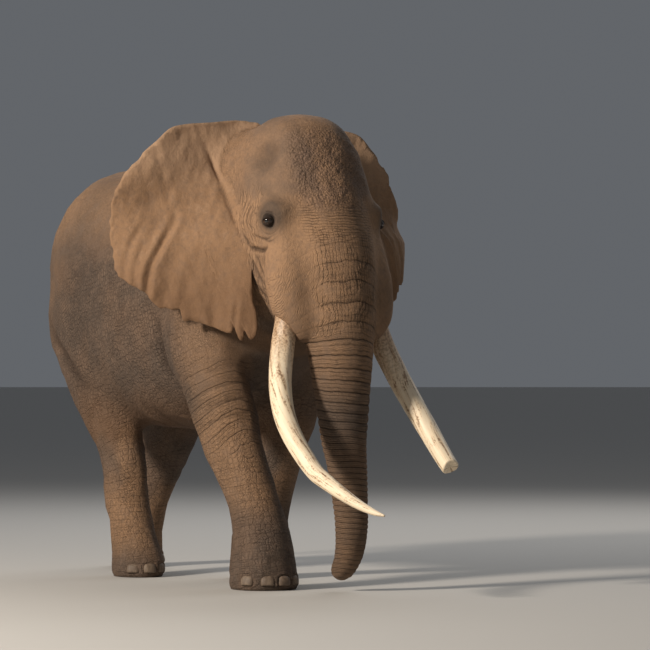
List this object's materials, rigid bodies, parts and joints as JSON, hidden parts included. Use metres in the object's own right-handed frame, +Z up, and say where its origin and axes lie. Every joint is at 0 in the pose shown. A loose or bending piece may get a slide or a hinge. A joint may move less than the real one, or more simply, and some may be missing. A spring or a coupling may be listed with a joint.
{
  "type": "african elephant",
  "caption": "Life-size African bush elephant bull in mid-stride, with spread ears, a long trunk and large tusks, one of them broken short.",
  "frame": {"origin": "on the floor under the middle of the model's bounds", "axes": "the animal faces -Y, its left side is +X, +Z is up"},
  "size_m": [2.4754, 4.9996, 3.3654],
  "materials": {
    "hide": "deeply wrinkled grey-brown skin under ochre dust",
    "ear_skin": "thin dusty ochre-brown skin with folds",
    "ivory": "worn creamy ivory with brown stains",
    "eye": "wet dark brown eye",
    "nail": "dull dusty toenail",
    "hair": "wiry black tail hair"
  },
  "bodies": {
    "root": {"body": "hide", "ear_left": "ear_skin", "ear_right": "ear_skin", "eye_left": "eye", "eye_right": "eye", "foot_front_left": "hide", "foot_front_right": "hide", "foot_hind_left": "hide", "foot_hind_right": "hide", "head": "hide", "leg_front_left": "hide", "leg_front_right": "hide", "leg_hind_left": "hide", "leg_hind_right": "hide", "lower_jaw": "hide", "neck": "hide", "tail": "hide", "tail_tuft": "hair", "toenail_front_left_1": "nail", "toenail_front_left_2": "nail", "toenail_front_left_3": "nail", "toenail_front_left_4": "nail", "toenail_front_right_1": "nail", "toenail_front_right_2": "nail", "toenail_front_right_3": "nail", "toenail_front_right_4": "nail", "toenail_hind_left_1": "nail", "toenail_hind_left_2": "nail", "toenail_hind_left_3": "nail", "toenail_hind_right_1": "nail", "toenail_hind_right_2": "nail", "toenail_hind_right_3": "nail", "trunk_lower": "hide", "trunk_middle": "hide", "trunk_upper": "hide", "tusk_left": "ivory", "tusk_right": "ivory"}
  },
  "joints": []
}
